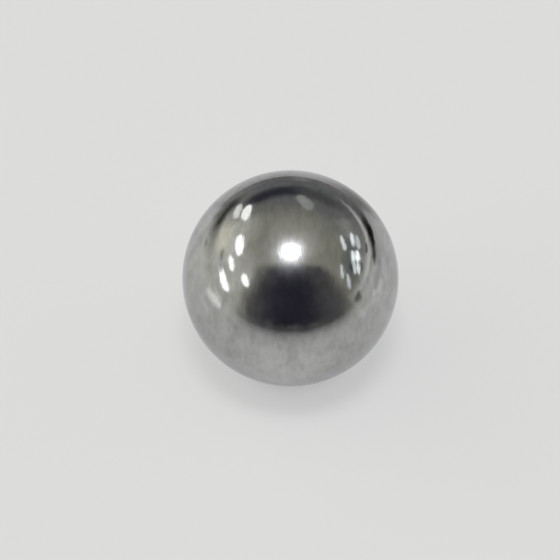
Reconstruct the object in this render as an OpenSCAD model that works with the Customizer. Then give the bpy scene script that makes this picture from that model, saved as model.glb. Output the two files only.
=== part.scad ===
// Steel ball: one solid piece, a true sphere centred on its origin and polished all over.

/* [Ball] */
// Diameter of the ball
ball_d = 20; // [3:0.5:60]

/* [Hidden] */
// Largest angle and shortest edge of a drawn facet
$fa = 3;
$fs = 0.2;

// Grey of bare polished steel
steel_grey = [0.61, 0.61, 0.60];

module ball() {
    color(steel_grey) sphere(d = ball_d);
}

ball();
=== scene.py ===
"""Looks of the steel ball: a mirror sphere in the CAD ball's place, on a pale floor in a soft studio."""
import math

import bmesh
import bpy
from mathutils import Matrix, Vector


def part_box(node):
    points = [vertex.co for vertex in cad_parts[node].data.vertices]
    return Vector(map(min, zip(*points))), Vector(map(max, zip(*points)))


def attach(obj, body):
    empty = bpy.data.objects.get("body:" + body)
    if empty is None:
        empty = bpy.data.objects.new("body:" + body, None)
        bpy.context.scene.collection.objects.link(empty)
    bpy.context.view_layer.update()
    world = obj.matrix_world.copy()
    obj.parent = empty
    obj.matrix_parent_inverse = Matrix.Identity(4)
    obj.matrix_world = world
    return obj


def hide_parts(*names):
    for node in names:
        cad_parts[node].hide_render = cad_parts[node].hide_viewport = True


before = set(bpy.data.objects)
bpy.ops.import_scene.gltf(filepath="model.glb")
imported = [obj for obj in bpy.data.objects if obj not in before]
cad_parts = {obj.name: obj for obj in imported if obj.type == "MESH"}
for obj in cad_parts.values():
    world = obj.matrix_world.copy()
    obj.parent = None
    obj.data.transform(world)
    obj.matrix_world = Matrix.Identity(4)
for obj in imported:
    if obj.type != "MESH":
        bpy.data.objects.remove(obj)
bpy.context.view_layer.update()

# The ball's place and size come from the frame
ball_low, ball_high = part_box("ball")
BALL_CENTRE = Vector((0, 0, (ball_low.z + ball_high.z) / 2))
BALL_RADIUS = (ball_high.z - ball_low.z) / 2

# Camera: degrees above the floor, ball radii away, and the ball's place in the square picture in pixels
CAMERA_ELEVATION = 55
CAMERA_DISTANCE = 20
PICTURE_SIZE = 560
BALL_PIXEL_X = 290.4
BALL_PIXEL_Y = 278.2
BALL_PIXEL_RADIUS = 108.2

# What follows from them: the camera's place, its three axes, and its focal length in pixels
camera_tilt = math.radians(CAMERA_ELEVATION)
CAMERA_AHEAD = Vector((0, math.cos(camera_tilt), -math.sin(camera_tilt)))
CAMERA_RIGHT = Vector((1, 0, 0))
CAMERA_UP = Vector((0, math.sin(camera_tilt), math.cos(camera_tilt)))
CAMERA_PLACE = BALL_CENTRE - CAMERA_DISTANCE * BALL_RADIUS * CAMERA_AHEAD
FOCAL_PIXELS = BALL_PIXEL_RADIUS / math.tan(math.asin(1 / CAMERA_DISTANCE))

# Measures that the shaders need
MILLIMETRES_PER_METRE = 1000.0
HALF_TURN_DEGREES = 180.0

# Mesh of the ball: cells along each side of its six patches, the gap round a patch in the flat map
# as a share of the patch, and how near two points of a seam lie to be joined, in ball radii
PATCH_CELLS = 96
MAP_GAP = 0.02
SEAM_JOIN = 1e-5

# Steel: dark, middle and pale tone, where the middle one lies from dark at 0 to pale at 1, and how much
# of the mirror is left near the edge of the ball
STEEL_DARK = (0.34, 0.34, 0.332)
STEEL_MIDDLE = (0.47, 0.47, 0.462)
STEEL_PALE = (0.54, 0.54, 0.532)
MIDDLE_PLACE = 0.6
STEEL_EDGE = (0.84, 0.85, 0.86)

# Smears and film on the steel: how far the smears are drawn out, how many there are to a millimetre,
# how much finer detail they have, the span of their noise that shows in the tone, and the least and the
# most that each adds to the tone
SMEAR_STRETCH = (1.0, 0.4, 0.4)
SMEAR_SCALE = 2.2
SMEAR_DETAIL = 3.0
SMEAR_SPAN = (0.2, 0.8)
FILM_SCALE = 0.55
FILM_DETAIL = 5.0
FILM_SPAN = (0.25, 0.75)
TONE_ADDED = (0.08, 0.52)

# Stains: how many cells there are to a millimetre, the radius of a stain's core and of its rim in cells,
# the span of the cells' random greys over which a stain comes in, and how much it takes from the tone
STAIN_SCALE = 0.7
STAIN_CORE = 0.06
STAIN_RIM = 0.17
STAIN_PICK = (0.50, 0.62)
STAIN_DARKENING = 0.4

# Roughness of the clean and the filmed steel, what smears and stains add, the spans of the noise over
# which film and smears come in, and the smears' height in metres
POLISH = 0.08
FILM_POLISH = 0.12
SMEAR_ROUGHNESS = 0.02
STAIN_ROUGHNESS = 0.1
FILM_HAZE_SPAN = (0.35, 0.75)
SMEAR_HAZE_SPAN = (0.5, 0.8)
SMEAR_HEIGHT = 7e-6

# Studio: radius in metres, how far out the softboxes and the dark cards stand, how far the dome reaches
# below the ball's centre as a share of the radius, and the steps round the dome, up it and round the floor
STUDIO_RADIUS = 3.0
SOFTBOX_DISTANCE = 2.85
CARD_DISTANCE = 2.80
DOME_SKIRT = 0.1
DOME_STEPS_ROUND = 96
DOME_STEPS_UP = 48
FLOOR_STEPS = 128

# Floor: its colour, the share of it that glows evenly so that the shadow stays light, the level of that
# glow, and where the glow starts and is full, in ball radii from the point that the ball stands on
FLOOR_COLOUR = (0.88, 0.88, 0.875)
FLOOR_GLOW = 0.6
FLOOR_LEVEL = 0.77
FLOOR_GLOW_NEAR = 0.1
FLOOR_GLOW_FULL = 0.75

# Gloss of the floor, which only mirrors show: its roughness, its refraction, and the shares of mirrored
# light at which it starts to show and shows fully
FLOOR_ROUGHNESS = 0.14
FLOOR_IOR = 1.5
FLOOR_MATT = 0.05
FLOOR_MIRROR = 0.85

# Colour beyond the edge of the floor
BACKGROUND_COLOUR = (0.71, 0.71, 0.705)

# Soft shades on the floor round the ball, which only mirrors show: their colour, then for each one the
# azimuths in degrees between which it starts and between which it ends, its near and its far side in ball
# radii, and its strength. Azimuth 0 is on the camera's side and grows to the right.
SHADE_COLOUR = (0.30, 0.30, 0.29)
FLOOR_SHADES = {
    "right": ((136, 147), (148, 173), (1.2, 4.6), (7, 14), 1.0),
    "left": ((-164, -152), (-139, -134), (5.5, 10), (60, 90), 1.0),
    "front_left": ((-115, -70), (-45, -15), (0.6, 1.1), (5, 9), 0.2),
    "front_right": ((10, 30), (50, 90), (0.6, 1.1), (2.5, 5), 0.16),
}

# Wandering of the wall zones and the flag's edges: the span of the noise that is used, and its finer detail
WANDER_SPAN = (0.25, 0.75)
WANDER_DETAIL = 2.0

# Soft zones of the studio wall, each laid over the ones before: azimuth and half width, elevation and
# half height, and softness of the long edges in degrees, then the colour. A zone's two ends fade over a
# share of its half width. The zones wander to each side by some degrees, with a noise of the scale given.
ZONE_ENDS = 0.5
WALL_COLOUR = (0.33, 0.33, 0.28)
WALL_ZONES = {
    "ceiling": (0, 360, 82, 22, 14, (0.42, 0.41, 0.36)),
    "left_wall": (-95, 44, 20, 28, 16, (0.71, 0.71, 0.66)),
    "left_warm": (-117, 13, 18, 9, 6, (0.98, 0.96, 0.80)),
    "right_low": (96, 28, 3, 7, 5, (0.50, 0.50, 0.49)),
    "right_bank": (95, 20, 24, 10, 6, (0.20, 0.21, 0.21)),
    "back_wall": (168, 44, 14, 31, 16, (0.19, 0.195, 0.20)),
    "back_shade": (-169, 22, 19, 8, 5, (0.04, 0.04, 0.055)),
    "back_shade_end": (158, 14, 19, 7, 5, (0.11, 0.11, 0.115)),
    "left_low": (-124, 9, 2, 5, 4, (0.40, 0.40, 0.36)),
    "left_dark": (-138, 12, 0, 6.5, 4.5, (0.06, 0.06, 0.057)),
    "right_upper": (122, 9, 24, 9, 7, (0.36, 0.36, 0.355)),
    "right_line": (113, 33, 4.5, 1.7, 2.2, (0.92, 0.92, 0.90)),
}
WALL_WANDER = 4.0
WALL_WANDER_SCALE = 2.5

# Dark flag on the camera's side. Its edges are slopes: metres aside or up for each metre ahead of the
# ball. It widens upwards by its flare, and its soft edges wander, with a noise of the scale given. It starts
# at the least share of a direction that points ahead, and is there fully at the full share.
FLAG_LEFT = -1.15
FLAG_RIGHT = 1.65
FLAG_TOP = 2.65
FLAG_FLARE = 0.08
FLAG_SOFT = 0.6
FLAG_WANDER = 0.08
FLAG_WANDER_SCALE = 5.0
FLAG_AHEAD_LEAST = 0.05
FLAG_AHEAD_FULL = 0.2

# Tones of the flag: its sides, its core with the core's middle, half width and softness as slopes, and its
# foot with the foot's height as a slope
FLAG_SIDE_TONE = (0.105, 0.10, 0.105)
FLAG_CORE_TONE = (0.031, 0.03, 0.046)
FLAG_CORE = 0.03
FLAG_CORE_HALF = 0.55
FLAG_CORE_SOFT = 0.4
FLAG_FOOT_TONE = (0.11, 0.11, 0.11)
FLAG_FOOT = 0.12

# Colours of the lights
WHITE = (1.0, 1.0, 1.0)
COOL_WHITE = (0.95, 1.0, 1.04)

# Softboxes: the two ends of the highlight that each makes on the ball, in pixels of the picture, then the
# box's width in degrees as the ball sees it, and its light level. Those on the right are a cool white.
SOFTBOXES = {
    "left_high": ((240, 235), (240, 256), 9, 2.5),
    "left_middle": ((230, 256), (233, 271), 6, 2.5),
    "left_low": ((221, 268), (228, 292), 8, 2.5),
    "left_near": ((243, 274), (248, 287), 6, 2.5),
    "left_far": ((249, 205), (245, 221), 8, 2.0),
    "left_far_low": ((239, 205), (236, 219), 6, 1.3),
    "back_soft": ((299, 195), (309, 210), 10, 0.45),
}
RIGHT_SOFTBOXES = {
    "right_high": ((340.5, 235), (344.5, 250), 4.5, 1.5),
    "right_far": ((351, 232), (353, 246), 4, 1.8),
    "right_far_dim": ((356, 235), (358.5, 249), 6, 1.0),
    "right_core": ((357, 250), (357, 261), 6, 2.4),
    "right_core_edge": ((352, 250), (353, 262), 4, 2.0),
    "right_low": ((353, 261), (355, 274), 4, 1.3),
    "right_lowest": ((357, 261), (359, 274), 4, 1.8),
    "right_near": ((341, 264), (343, 278), 3, 1.4),
    "right_side": ((347, 273), (350, 289), 3, 1.3),
}

# Dark cards beside the softboxes, in the same way
CARDS = {
    "left_card": ((223, 249), (221, 262), 3, 0.35),
    "right_card_low": ((350, 260), (352, 273), 3, 0.06),
    "right_card_end": ((361, 261), (361, 272), 3, 0.06),
    "right_card_far": ((366, 242), (366, 253), 3, 0.05),
    "right_card_foot": ((359, 290), (355, 305), 5, 0.12),
}

# Outline of a panel: steps round it, and how full it is (2 is an ellipse, more is nearer an oblong)
OUTLINE_STEPS = 64
SOFTBOX_FULLNESS = 2.0
LAMP_FULLNESS = 3.5

# Overhead lamp: middle and half length of its highlight in pixels, its width in degrees and its light level
LAMP_PIXEL_X = 290.5
LAMP_PIXEL_Y = 252
LAMP_PIXEL_HALF = 8
LAMP_WIDTH = 13
LAMP_LEVEL = 16.0

# Halo round the lamp: its level and colour, where it starts and how fast it fades, in degrees from the lamp
HALO_LEVEL = 1.5
HALO_COLOUR = (0.95, 0.98, 1.07)
HALO_START = 9.5
HALO_FADE = 4.8

# Low dark board that stands on the floor behind the ball, in ball radii: how far behind, where its two
# ends are to the left and the right, how strongly it bows, the height of each end, how full it is, the
# steps along it, and its tones from left to right. Light that was mirrored more than once, which has a
# greater ray depth than the limit, passes through it.
BOARD_BEHIND = 8.2
BOARD_LEFT = -6
BOARD_RIGHT = 19
BOARD_BOW = 0.0115
BOARD_LEFT_HEIGHT = 1.6
BOARD_RIGHT_HEIGHT = 1.7
BOARD_FULLNESS = 10
BOARD_STEPS = 72
BOARD_TONES = [
    (0.00, (0.36, 0.36, 0.35)),
    (0.15, (0.23, 0.23, 0.23)),
    (0.23, (0.22, 0.22, 0.22)),
    (0.27, (0.32, 0.32, 0.32)),
    (0.30, (0.22, 0.22, 0.22)),
    (0.44, (0.22, 0.22, 0.22)),
    (0.59, (0.008, 0.008, 0.010)),
    (0.80, (0.008, 0.008, 0.010)),
    (0.91, (0.14, 0.13, 0.13)),
    (1.00, (0.35, 0.35, 0.35)),
]
BOARD_DEPTH_LIMIT = 1.5


def mirrored_way(pixel):
    """The direction that the ball mirrors at a pixel of the picture."""
    aside = (pixel[0] - BALL_PIXEL_X) / FOCAL_PIXELS
    above = (BALL_PIXEL_Y - pixel[1]) / FOCAL_PIXELS
    ray = (CAMERA_AHEAD + aside * CAMERA_RIGHT + above * CAMERA_UP).normalized()
    start = CAMERA_PLACE - BALL_CENTRE
    nearing = start.dot(ray)
    depth = -nearing - math.sqrt(nearing ** 2 - start.length_squared + BALL_RADIUS ** 2)
    normal = (start + depth * ray).normalized()
    return ray.reflect(normal)


def add_object(name, data):
    """Puts a new object into the scene."""
    made = bpy.data.objects.new(name, data)
    bpy.context.scene.collection.objects.link(made)
    return made


def mesh_from(name, shape):
    """Turns a finished shape into a mesh."""
    mesh = bpy.data.meshes.new(name)
    shape.to_mesh(mesh)
    shape.free()
    return mesh


# Shader helpers

def new_material(name):
    """An empty node material, with its tree and its output node."""
    material = bpy.data.materials.new(name)
    material.use_nodes = True
    tree = material.node_tree
    tree.nodes.clear()
    output = tree.nodes.new("ShaderNodeOutputMaterial")
    return material, tree, output


def node(tree, kind, inputs=None, **settings):
    """Adds a node; an input is a value, a colour, or another node's output to link from."""
    made = tree.nodes.new(kind)
    for key, value in settings.items():
        setattr(made, key, value)
    for key, value in (inputs or {}).items():
        socket = made.inputs[key]
        if isinstance(value, bpy.types.NodeSocket):
            tree.links.new(value, socket)
        elif socket.type == "RGBA":
            socket.default_value = (*value, 1.0)
        else:
            socket.default_value = value
    return made


def maths(tree, operation, first, second=0.0, third=0.0):
    """The result of one operation on up to three values."""
    return node(tree, "ShaderNodeMath", {0: first, 1: second, 2: third}, operation=operation).outputs[0]


def spread(tree, value, from_low, from_high, to_low, to_high, easing="SMOOTHSTEP"):
    """Maps a value from one range into another, flat beyond the ends."""
    inputs = {"Value": value, "From Min": from_low, "From Max": from_high}
    inputs.update({"To Min": to_low, "To Max": to_high})
    return node(tree, "ShaderNodeMapRange", inputs, interpolation_type=easing).outputs["Result"]


def within(tree, value, half, soft):
    """1 inside plus or minus half, and 0 outside, with a soft edge."""
    return spread(tree, maths(tree, "ABSOLUTE", value), half - soft, half + soft, 1.0, 0.0)


def ramp(tree, value, stops):
    """A colour from a value, with stops given as place and colour."""
    made = node(tree, "ShaderNodeValToRGB", {"Fac": value})
    elements = made.color_ramp.elements
    while len(elements) < len(stops):
        elements.new(1.0)
    for element, (place, colour) in zip(elements, stops):
        element.position = place
        element.color = (*colour, 1.0)
    return made.outputs["Color"]


def mix_colour(tree, share, first, second):
    """The first colour with a share of the second laid over it."""
    # The colour sockets of this node are its seventh and eighth inputs and its third output
    return node(tree, "ShaderNodeMix", {0: share, 6: first, 7: second}, data_type="RGBA").outputs[2]


def noise(tree, vector, scale, detail):
    """Soft noise between 0 and 1."""
    inputs = {"Vector": vector, "Scale": scale, "Detail": detail}
    return node(tree, "ShaderNodeTexNoise", inputs).outputs["Fac"]


# Polished steel

def polished_steel():
    """Mirror steel with faint smears, a thin hazy film and a few tiny stains."""
    material, tree, output = new_material("polished_steel")
    metres = node(tree, "ShaderNodeTexCoord").outputs["Object"]
    to_millimetres = {0: metres, "Scale": MILLIMETRES_PER_METRE}
    millimetres = node(tree, "ShaderNodeVectorMath", to_millimetres, operation="SCALE").outputs[0]
    drawn_out = node(tree, "ShaderNodeMapping", {"Vector": millimetres, "Scale": SMEAR_STRETCH}).outputs[0]
    smears = noise(tree, drawn_out, SMEAR_SCALE, SMEAR_DETAIL)
    film = noise(tree, millimetres, FILM_SCALE, FILM_DETAIL)
    cells = node(tree, "ShaderNodeTexVoronoi", {"Vector": drawn_out, "Scale": STAIN_SCALE}).outputs
    dots = spread(tree, cells["Distance"], STAIN_CORE, STAIN_RIM, 1.0, 0.0)
    picked = spread(tree, cells["Color"], *STAIN_PICK, 0.0, 1.0)
    stains = maths(tree, "MULTIPLY", dots, picked)

    smear_tone = spread(tree, smears, *SMEAR_SPAN, *TONE_ADDED)
    film_tone = spread(tree, film, *FILM_SPAN, *TONE_ADDED)
    tone = maths(tree, "ADD", smear_tone, film_tone)
    tone = maths(tree, "SUBTRACT", tone, maths(tree, "MULTIPLY", stains, STAIN_DARKENING))
    colour = ramp(tree, tone, [(0.0, STEEL_DARK), (MIDDLE_PLACE, STEEL_MIDDLE), (1.0, STEEL_PALE)])

    film_roughness = spread(tree, film, *FILM_HAZE_SPAN, POLISH, FILM_POLISH)
    smear_roughness = spread(tree, smears, *SMEAR_HAZE_SPAN, 0.0, SMEAR_ROUGHNESS)
    roughness = maths(tree, "ADD", film_roughness, smear_roughness)
    roughness = maths(tree, "ADD", roughness, maths(tree, "MULTIPLY", stains, STAIN_ROUGHNESS))
    relief = node(tree, "ShaderNodeBump", {"Distance": SMEAR_HEIGHT, "Height": smears}).outputs[0]

    inputs = {"Base Color": colour, "Roughness": roughness, "Normal": relief}
    inputs.update({"Metallic": 1.0, "Specular Tint": STEEL_EDGE})
    shader = node(tree, "ShaderNodeBsdfPrincipled", inputs)
    tree.links.new(shader.outputs[0], output.inputs["Surface"])
    return material


def patched_sphere(name, radius):
    """A sphere of six square patches with even cells, and a flat map that lays the patches side by side."""
    shape = bmesh.new()
    flat = shape.loops.layers.uv.new("OFBake")
    steps = range(PATCH_CELLS + 1)
    reach = [math.tan((2 * i / PATCH_CELLS - 1) * math.pi / 4) for i in steps]
    on_map = [MAP_GAP + (1 - 2 * MAP_GAP) * i / PATCH_CELLS for i in steps]
    for axis in range(3):
        for row, sign in enumerate((1, -1)):
            out, across, up = Vector(), Vector(), Vector()
            out[axis] = sign
            across[(axis + 1) % 3] = sign
            up[(axis + 2) % 3] = 1
            points = {}
            for i in steps:
                for j in steps:
                    way = (out + reach[i] * across + reach[j] * up).normalized()
                    points[i, j] = shape.verts.new(radius * way)
            for i in range(PATCH_CELLS):
                for j in range(PATCH_CELLS):
                    corners = [(i, j), (i + 1, j), (i + 1, j + 1), (i, j + 1)]
                    face = shape.faces.new([points[corner] for corner in corners])
                    for loop, (a, b) in zip(face.loops, corners):
                        loop[flat].uv = ((axis + on_map[a]) / 3, (row + on_map[b]) / 2)
    bmesh.ops.remove_doubles(shape, verts=shape.verts, dist=radius * SEAM_JOIN)
    mesh = mesh_from(name, shape)
    mesh.shade_smooth()
    return mesh


def make_ball():
    """The dressed ball, in the CAD ball's place."""
    ball = add_object("polished_ball", patched_sphere("polished_ball", BALL_RADIUS))
    ball.location = BALL_CENTRE
    ball.data.materials.append(polished_steel())
    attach(ball, "root")
    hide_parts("ball")


# Camera

def make_camera():
    """Aims so that the ball lies at its place in the picture."""
    metres_per_pixel = CAMERA_DISTANCE * BALL_RADIUS / FOCAL_PIXELS
    aside = (BALL_PIXEL_X - PICTURE_SIZE / 2) * metres_per_pixel
    above = (PICTURE_SIZE / 2 - BALL_PIXEL_Y) * metres_per_pixel
    aim = BALL_CENTRE - aside * CAMERA_RIGHT - above * CAMERA_UP
    lens = bpy.data.cameras.new("camera")
    lens.lens = FOCAL_PIXELS / PICTURE_SIZE * lens.sensor_width
    lens.clip_start = BALL_RADIUS
    camera = add_object("camera", lens)
    camera.location = CAMERA_PLACE
    camera.rotation_euler = (aim - CAMERA_PLACE).to_track_quat("-Z", "Y").to_euler()
    bpy.context.scene.camera = camera


# Studio

def light_material(name, colour, level):
    """Plain even light."""
    material, tree, output = new_material(name)
    light = node(tree, "ShaderNodeEmission", {"Color": colour, "Strength": level})
    tree.links.new(light.outputs[0], output.inputs["Surface"])
    return material


def stage_object(name, shape, material):
    """A stage mesh that lights the ball and shows in it, and stays out of the picture."""
    made = add_object(name, mesh_from(name, shape))
    made.data.materials.append(material)
    made.visible_camera = False
    return made


def make_panel(name, ends, width, material, distance, fullness):
    """A flat oval panel that faces the ball, placed by the two ends of its highlight."""
    first, second = [distance * mirrored_way(pixel) for pixel in ends]
    middle = BALL_CENTRE + (first + second) / 2
    along = (first - second) / 2
    across = along.cross(first + second).normalized() * distance * math.radians(width) / 2
    shape = bmesh.new()
    outline = []
    for step in range(OUTLINE_STEPS):
        turn = 2 * math.pi * step / OUTLINE_STEPS
        share, bow = [math.copysign(abs(v) ** (2 / fullness), v) for v in (math.cos(turn), math.sin(turn))]
        outline.append(shape.verts.new(middle + share * along + bow * across))
    shape.faces.new(outline)
    stage_object(name, shape, material)


def board_material(along):
    """Tones along the board, by the flat map of that name. The floor's gloss doesn't repeat them."""
    material, tree, output = new_material("back_board")
    place = node(tree, "ShaderNodeUVMap", uv_map=along).outputs[0]
    share = node(tree, "ShaderNodeSeparateXYZ", {0: place}).outputs["X"]
    light = node(tree, "ShaderNodeEmission", {"Color": ramp(tree, share, BOARD_TONES)})
    clear = node(tree, "ShaderNodeBsdfTransparent", {"Color": WHITE})
    depth = node(tree, "ShaderNodeLightPath").outputs["Ray Depth"]
    mirrored_twice = maths(tree, "GREATER_THAN", depth, BOARD_DEPTH_LIMIT)
    shown = node(tree, "ShaderNodeMixShader", {0: mirrored_twice, 1: light.outputs[0], 2: clear.outputs[0]})
    tree.links.new(shown.outputs[0], output.inputs["Surface"])
    return material


def make_board():
    """The low board behind the ball, which only mirrors show: it leaves no shade on the floor."""
    shape = bmesh.new()
    along = shape.loops.layers.uv.new("along")
    columns = []
    for step in range(BOARD_STEPS + 1):
        share = step / BOARD_STEPS
        aside = BOARD_LEFT + share * (BOARD_RIGHT - BOARD_LEFT)
        behind = BOARD_BEHIND - BOARD_BOW * aside ** 2
        height = BOARD_LEFT_HEIGHT + share * (BOARD_RIGHT_HEIGHT - BOARD_LEFT_HEIGHT)
        height = height * (1 - abs(2 * share - 1) ** BOARD_FULLNESS)
        foot = BALL_CENTRE + BALL_RADIUS * Vector((aside, behind, -1))
        head = foot + BALL_RADIUS * Vector((0, 0, height))
        columns.append((share, shape.verts.new(foot), shape.verts.new(head)))
    for (share, foot, head), (next_share, next_foot, next_head) in zip(columns, columns[1:]):
        face = shape.faces.new([foot, next_foot, next_head, head])
        for loop, place in zip(face.loops, (share, next_share, next_share, share)):
            loop[along].uv = (place, 0)
    board = stage_object("back_board", shape, board_material("along"))
    board.visible_diffuse = False
    board.visible_shadow = False


def azimuth_of(tree, parts):
    """Degrees round from the camera's side towards the right."""
    turn = maths(tree, "ARCTAN2", parts["X"], maths(tree, "MULTIPLY", parts["Y"], -1.0))
    return maths(tree, "DEGREES", turn)


def wandering(tree, way, scale, reach):
    """A soft random change from one direction to the next, by up to the reach to each side."""
    return spread(tree, noise(tree, way, scale, WANDER_DETAIL), *WANDER_SPAN, -reach, reach)


def flag_over(tree, way, parts, colour):
    """Lays the dark flag over the wall's colour: soft edges, a darker core and a lighter foot."""
    ahead = maths(tree, "MAXIMUM", maths(tree, "MULTIPLY", parts["Y"], -1.0), FLAG_AHEAD_LEAST)
    wander = wandering(tree, way, FLAG_WANDER_SCALE, FLAG_WANDER)
    tall = maths(tree, "ADD", maths(tree, "DIVIDE", parts["Z"], ahead), wander)
    flare = maths(tree, "MULTIPLY_ADD", tall, FLAG_FLARE, 1.0)
    side = maths(tree, "DIVIDE", maths(tree, "DIVIDE", parts["X"], ahead), flare)
    side = maths(tree, "ADD", side, wander)

    from_middle = maths(tree, "SUBTRACT", side, (FLAG_LEFT + FLAG_RIGHT) / 2)
    share = within(tree, from_middle, (FLAG_RIGHT - FLAG_LEFT) / 2, FLAG_SOFT)
    below_top = spread(tree, tall, FLAG_TOP - FLAG_SOFT, FLAG_TOP + FLAG_SOFT, 1.0, 0.0)
    share = maths(tree, "MULTIPLY", share, below_top)
    in_front = spread(tree, ahead, FLAG_AHEAD_LEAST, FLAG_AHEAD_FULL, 0.0, 1.0)
    share = maths(tree, "MULTIPLY", share, in_front)

    core = within(tree, maths(tree, "SUBTRACT", side, FLAG_CORE), FLAG_CORE_HALF, FLAG_CORE_SOFT)
    tone = mix_colour(tree, core, FLAG_SIDE_TONE, FLAG_CORE_TONE)
    foot = spread(tree, tall, 0.0, FLAG_FOOT, 1.0, 0.0)
    tone = mix_colour(tree, foot, tone, FLAG_FOOT_TONE)
    return mix_colour(tree, share, colour, tone)


def halo_strength(tree, way):
    """Light round the overhead lamp, which fades with the angle from it."""
    lamp_way = mirrored_way((LAMP_PIXEL_X, LAMP_PIXEL_Y))
    facing = node(tree, "ShaderNodeVectorMath", {0: way, 1: lamp_way}, operation="DOT_PRODUCT")
    apart = maths(tree, "DEGREES", maths(tree, "ARCCOSINE", facing.outputs["Value"]))
    fade = maths(tree, "DIVIDE", maths(tree, "SUBTRACT", HALO_START, apart), HALO_FADE)
    return maths(tree, "MULTIPLY", maths(tree, "EXPONENT", fade), HALO_LEVEL)


def dome_material():
    """Soft warm walls with pale and unlit zones, the dark flag, and a halo round the lamp."""
    material, tree, output = new_material("studio_dome")
    place = node(tree, "ShaderNodeTexCoord").outputs["Object"]
    way = node(tree, "ShaderNodeVectorMath", {0: place}, operation="NORMALIZE").outputs[0]
    parts = node(tree, "ShaderNodeSeparateXYZ", {0: way}).outputs
    wander = wandering(tree, way, WALL_WANDER_SCALE, WALL_WANDER)
    rise = maths(tree, "DEGREES", maths(tree, "ARCSINE", parts["Z"]))
    turn = maths(tree, "ADD", azimuth_of(tree, parts), wander)
    colour = WALL_COLOUR
    for azimuth, half_width, elevation, half_height, soft, zone_colour in WALL_ZONES.values():
        aside = maths(tree, "SUBTRACT", turn, azimuth)
        aside = maths(tree, "WRAP", aside, HALF_TURN_DEGREES, -HALF_TURN_DEGREES)
        share = within(tree, maths(tree, "SUBTRACT", rise, elevation), half_height, soft)
        ends = within(tree, aside, half_width, half_width * ZONE_ENDS)
        share = maths(tree, "MULTIPLY", share, ends)
        colour = mix_colour(tree, share, colour, zone_colour)
    colour = flag_over(tree, way, parts, colour)

    walls = node(tree, "ShaderNodeEmission", {"Color": colour})
    halo = node(tree, "ShaderNodeEmission", {"Color": HALO_COLOUR, "Strength": halo_strength(tree, way)})
    both = node(tree, "ShaderNodeAddShader", {0: walls.outputs[0], 1: halo.outputs[0]})
    tree.links.new(both.outputs[0], output.inputs["Surface"])
    material.cycles.emission_sampling = "NONE"
    return material


def make_dome():
    """The studio's walls and ceiling, down to a little below the floor."""
    shape = bmesh.new()
    steps = {"u_segments": DOME_STEPS_ROUND, "v_segments": DOME_STEPS_UP}
    bmesh.ops.create_uvsphere(shape, radius=STUDIO_RADIUS, **steps)
    below = [v for v in shape.verts if v.co.z < -DOME_SKIRT * STUDIO_RADIUS]
    bmesh.ops.delete(shape, geom=below, context="VERTS")
    dome = stage_object("studio_dome", shape, dome_material())
    dome.location = BALL_CENTRE


def floor_shade(tree, place, away):
    """How much of the soft shades round the ball lies on a place of the floor."""
    turn = azimuth_of(tree, node(tree, "ShaderNodeSeparateXYZ", {0: place}).outputs)
    total = 0.0
    for start, end, near, far, strength in FLOOR_SHADES.values():
        share = spread(tree, turn, *start, 0.0, strength)
        share = maths(tree, "MULTIPLY", share, spread(tree, turn, *end, 1.0, 0.0))
        share = maths(tree, "MULTIPLY", share, spread(tree, away, *near, 0.0, 1.0))
        share = maths(tree, "MULTIPLY", share, spread(tree, away, *far, 1.0, 0.0))
        total = maths(tree, "ADD", total, share)
    return total


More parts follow.
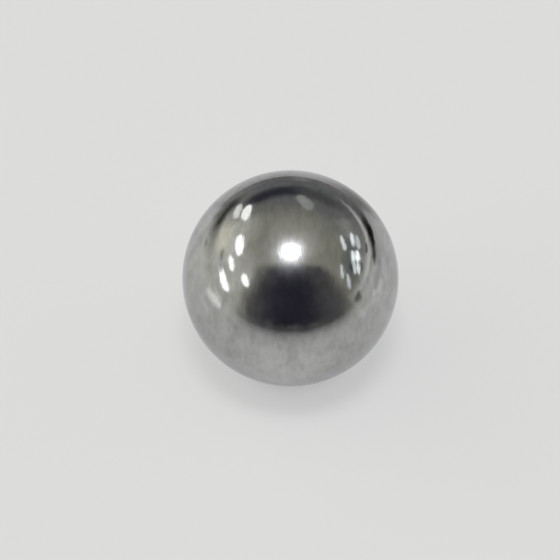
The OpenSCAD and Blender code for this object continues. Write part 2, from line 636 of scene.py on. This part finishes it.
def floor_material():
    """Pale, with part of its light even, so that the ball's shadow stays light.

    The ball mirrors it with a gloss towards the horizon, and the picture shows it plain and matt.
    """
    material, tree, output = new_material("pale_floor")
    rays = node(tree, "ShaderNodeLightPath").outputs
    seen = maths(tree, "MAXIMUM", rays["Is Camera Ray"], rays["Is Glossy Ray"])
    seen = maths(tree, "MAXIMUM", seen, rays["Is Transmission Ray"])
    place = node(tree, "ShaderNodeTexCoord").outputs["Object"]
    away = node(tree, "ShaderNodeVectorMath", {0: place}, operation="LENGTH").outputs["Value"]
    away = maths(tree, "DIVIDE", away, BALL_RADIUS)

    lit = node(tree, "ShaderNodeBsdfDiffuse", {"Color": FLOOR_COLOUR})
    even = node(tree, "ShaderNodeEmission", {"Color": WHITE, "Strength": FLOOR_LEVEL})
    open_floor = spread(tree, away, FLOOR_GLOW_NEAR, FLOOR_GLOW_FULL, 0.0, FLOOR_GLOW)
    share = maths(tree, "MULTIPLY", seen, open_floor)
    body = node(tree, "ShaderNodeMixShader", {0: share, 1: lit.outputs[0], 2: even.outputs[0]})

    shade = node(tree, "ShaderNodeEmission", {"Color": SHADE_COLOUR})
    shaded = maths(tree, "MULTIPLY", floor_shade(tree, place, away), rays["Is Glossy Ray"])
    body = node(tree, "ShaderNodeMixShader", {0: shaded, 1: body.outputs[0], 2: shade.outputs[0]})

    gloss = node(tree, "ShaderNodeBsdfGlossy", {"Color": WHITE, "Roughness": FLOOR_ROUGHNESS})
    mirror = node(tree, "ShaderNodeFresnel", {"IOR": FLOOR_IOR}).outputs[0]
    sheen = spread(tree, mirror, FLOOR_MATT, FLOOR_MIRROR, 0.0, 1.0, "LINEAR")
    sheen = maths(tree, "MULTIPLY", sheen, rays["Is Glossy Ray"])
    whole = node(tree, "ShaderNodeMixShader", {0: sheen, 1: body.outputs[0], 2: gloss.outputs[0]})
    tree.links.new(whole.outputs[0], output.inputs["Surface"])
    material.cycles.emission_sampling = "NONE"
    return material


def make_floor():
    """The round pale floor that the ball stands on."""
    shape = bmesh.new()
    bmesh.ops.create_circle(shape, cap_ends=True, segments=FLOOR_STEPS, radius=STUDIO_RADIUS)
    floor = add_object("floor", mesh_from("floor", shape))
    floor.data.materials.append(floor_material())
    floor.location = (BALL_CENTRE.x, BALL_CENTRE.y, ball_low.z)


def make_world():
    """A plain colour beyond the edge of the floor."""
    world = bpy.data.worlds.new("background")
    world.use_nodes = True
    background = world.node_tree.nodes["Background"]
    background.inputs["Color"].default_value = (*BACKGROUND_COLOUR, 1.0)
    bpy.context.scene.world = world


def make_studio():
    """Floor, dome, lamp, softboxes, cards, board and background."""
    make_floor()
    make_dome()
    lamp_left = (LAMP_PIXEL_X - LAMP_PIXEL_HALF, LAMP_PIXEL_Y)
    lamp_right = (LAMP_PIXEL_X + LAMP_PIXEL_HALF, LAMP_PIXEL_Y)
    lamp_ends = (lamp_left, lamp_right)
    lamp = light_material("overhead_lamp", WHITE, LAMP_LEVEL)
    make_panel("overhead_lamp", lamp_ends, LAMP_WIDTH, lamp, SOFTBOX_DISTANCE, LAMP_FULLNESS)
    groups = [
        (SOFTBOXES, WHITE, SOFTBOX_DISTANCE),
        (RIGHT_SOFTBOXES, COOL_WHITE, SOFTBOX_DISTANCE),
        (CARDS, WHITE, CARD_DISTANCE),
    ]
    for panels, colour, distance in groups:
        for name, (top, bottom, width, level) in panels.items():
            light = light_material(name, colour, level)
            make_panel(name, (top, bottom), width, light, distance, SOFTBOX_FULLNESS)
    make_board()
    make_world()


make_camera()
make_ball()
make_studio()
bpy.context.scene.view_settings.view_transform = "Standard"
